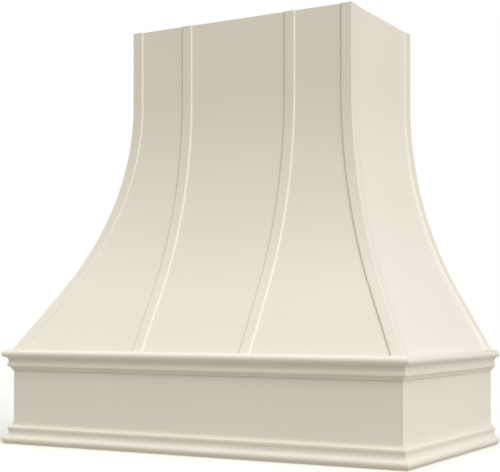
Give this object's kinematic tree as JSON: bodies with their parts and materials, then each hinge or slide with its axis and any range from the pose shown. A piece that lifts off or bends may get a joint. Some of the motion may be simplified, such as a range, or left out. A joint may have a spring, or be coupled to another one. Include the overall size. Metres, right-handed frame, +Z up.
{
  "type": "wooden range hood cover",
  "caption": "Wall-hung wooden range hood cover: plumb chimney, curved flare with raised straps, mitred mouldings round a straight apron, and a liner with a cut-out for a fan unit.",
  "frame": {"origin": "middle of the underside, halfway between the wall and the front of the mouldings", "axes": "+Z up, +X along the wall (the hood's right as seen from the room), +Y towards the wall"},
  "size_m": [0.953, 0.5224, 0.9144],
  "materials": {
    "satin_paint": "sprayed cream-white satin paint on wood and bending plywood",
    "birch_plywood": "bare sanded plywood",
    "poplar": "bare planed softwood",
    "zinc_screw": "zinc-plated steel"
  },
  "bodies": {
    "root": {"skin_front": "satin_paint", "skin_right": "satin_paint", "skin_left": "satin_paint", "apron_front": "satin_paint", "apron_right": "satin_paint", "apron_left": "satin_paint", "moulding_upper_front": "satin_paint", "moulding_upper_right": "satin_paint", "moulding_upper_left": "satin_paint", "moulding_lower_front": "satin_paint", "moulding_lower_right": "satin_paint", "moulding_lower_left": "satin_paint", "strap_front_corner_right": "satin_paint", "strap_front_corner_left": "satin_paint", "strap_front_middle_right": "satin_paint", "strap_front_middle_left": "satin_paint", "strap_side_front_right": "satin_paint", "strap_side_front_left": "satin_paint", "strap_side_wall_right": "satin_paint", "strap_side_wall_left": "satin_paint", "rib_middle_right": "birch_plywood", "rib_middle_left": "birch_plywood", "rib_hip_right": "birch_plywood", "rib_hip_left": "birch_plywood", "rib_wall_right": "birch_plywood", "rib_wall_left": "birch_plywood", "liner_panel": "birch_plywood", "rail_top_front": "poplar", "rail_top_right": "poplar", "rail_top_left": "poplar", "rail_base_front": "poplar", "rail_base_right": "poplar", "rail_base_left": "poplar", "blocking_front_middle": "poplar", "blocking_front_right": "poplar", "blocking_front_left": "poplar", "blocking_side_right": "poplar", "blocking_side_left": "poplar", "rail_hanging_upper": "poplar", "rail_hanging_lower": "poplar", "corner_block_front_right": "poplar", "corner_block_front_left": "poplar", "corner_block_wall_right": "poplar", "corner_block_wall_left": "poplar", "ledger_front": "poplar", "ledger_right": "poplar", "ledger_left": "poplar", "ledger_wall": "poplar", "screw_top_middle_right": "zinc_screw", "screw_top_middle_left": "zinc_screw", "screw_top_wall_right": "zinc_screw", "screw_top_wall_left": "zinc_screw", "screw_liner_front_1": "zinc_screw", "screw_liner_front_2": "zinc_screw", "screw_liner_wall_1": "zinc_screw", "screw_liner_wall_2": "zinc_screw", "screw_liner_right_1": "zinc_screw", "screw_liner_right_2": "zinc_screw", "screw_liner_left_1": "zinc_screw", "screw_liner_left_2": "zinc_screw"}
  },
  "joints": []
}
